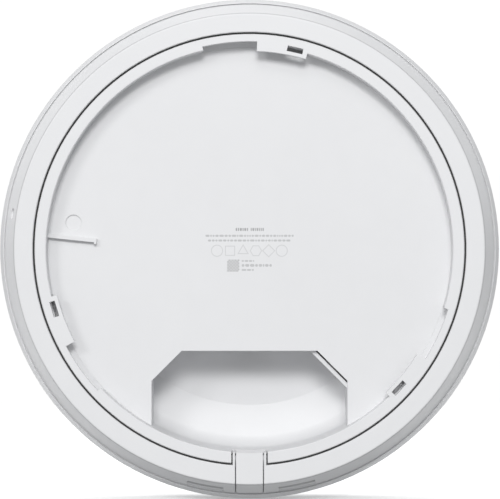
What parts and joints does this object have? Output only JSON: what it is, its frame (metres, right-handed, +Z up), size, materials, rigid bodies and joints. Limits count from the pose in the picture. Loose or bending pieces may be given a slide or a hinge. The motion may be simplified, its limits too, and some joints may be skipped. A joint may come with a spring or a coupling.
{
  "type": "ceiling access point",
  "caption": "Round white ceiling access point with a domed front, a twist-lock recess and a cable pocket in its back.",
  "frame": {"origin": "centre of the back plane, on the unit's round axis, at the mouth of the twist-lock recess", "axes": "-Y points out of the back, towards the ceiling or wall that holds it; +Y points out of the domed front; +Z points up, away from the cable exit, with the unit upright; +X is right, seen from behind"},
  "size_m": [0.206, 0.046, 0.206],
  "materials": {
    "shell": "fine satin moulding grain, cool white",
    "diffuser": "frosted translucent white",
    "gasket": "matt black",
    "circuit_board": "green solder mask",
    "led": "clear resin over phosphor",
    "screw_steel": "zinc plated",
    "flex_film": "amber polyimide film",
    "dark_plastic": "satin black",
    "chip": "moulded epoxy",
    "shield_metal": "tinned sheet",
    "gold_contact": "gold plated",
    "transformer": "ferrite core",
    "capacitor": "sleeved can",
    "thermal_pad": "soft silicone",
    "spreader_alu": "bead blasted",
    "carrier": "natural white moulding",
    "antenna_metal": "stamped copper alloy",
    "lead_jacket": "black jacket"
  },
  "bodies": {
    "housing": {"rear_housing": "shell", "base_plate": "shell", "ring_seal": "gasket", "cable_pocket": "shell", "front_cover": "shell", "light_ring": "diffuser", "centre_cap": "shell", "led_board": "circuit_board", "leds": "led", "led_screws": "screw_steel", "led_flex": "flex_film", "flex_sockets": "dark_plastic", "main_board": "circuit_board", "network_jack": "shield_metal", "jack_contacts": "gold_contact", "reset_switch": "dark_plastic", "processor": "chip", "memory_chips": "chip", "radio_shield_left": "shield_metal", "radio_shield_right": "shield_metal", "radio_shield_top": "shield_metal", "lan_magnetics": "chip", "power_transformer": "transformer", "capacitors": "capacitor", "inductors": "dark_plastic", "thermal_pads": "thermal_pad", "heat_spreader": "spreader_alu", "spreader_screws": "screw_steel", "board_screws": "screw_steel", "base_screws": "screw_steel", "pocket_screws": "screw_steel", "antenna_carrier": "carrier", "antenna_low_left": "antenna_metal", "antenna_low_right": "antenna_metal", "antenna_mid_left": "antenna_metal", "antenna_mid_right": "antenna_metal", "antenna_high_left": "antenna_metal", "antenna_high_right": "antenna_metal", "antenna_leads": "lead_jacket", "lead_plugs": "gold_contact", "blower_housing": "dark_plastic", "blower_cover": "dark_plastic", "blower_shaft": "screw_steel", "blower_screws": "screw_steel"},
    "cable_cover": {"cable_cover": "shell"},
    "reset_button": {"reset_button": "shell"},
    "blower_impeller": {"blower_impeller": "dark_plastic"}
  },
  "joints": [
    {"name": "cable_cover_pull", "type": "slide", "parent": "housing", "child": "cable_cover", "axis": [0, -1, 0], "range_m": [0, 0.016]},
    {"name": "reset_press", "type": "slide", "parent": "housing", "child": "reset_button", "axis": [0, 0, 1], "range_m": [0, 0.0009], "stiffness_N_per_m": 400, "springref_m": -0.0005},
    {"name": "blower_spin", "type": "hinge", "parent": "housing", "child": "blower_impeller", "pos_m": [-0.063, 0.022, -0.033], "axis": [0, 1, 0], "continuous": true}
  ]
}
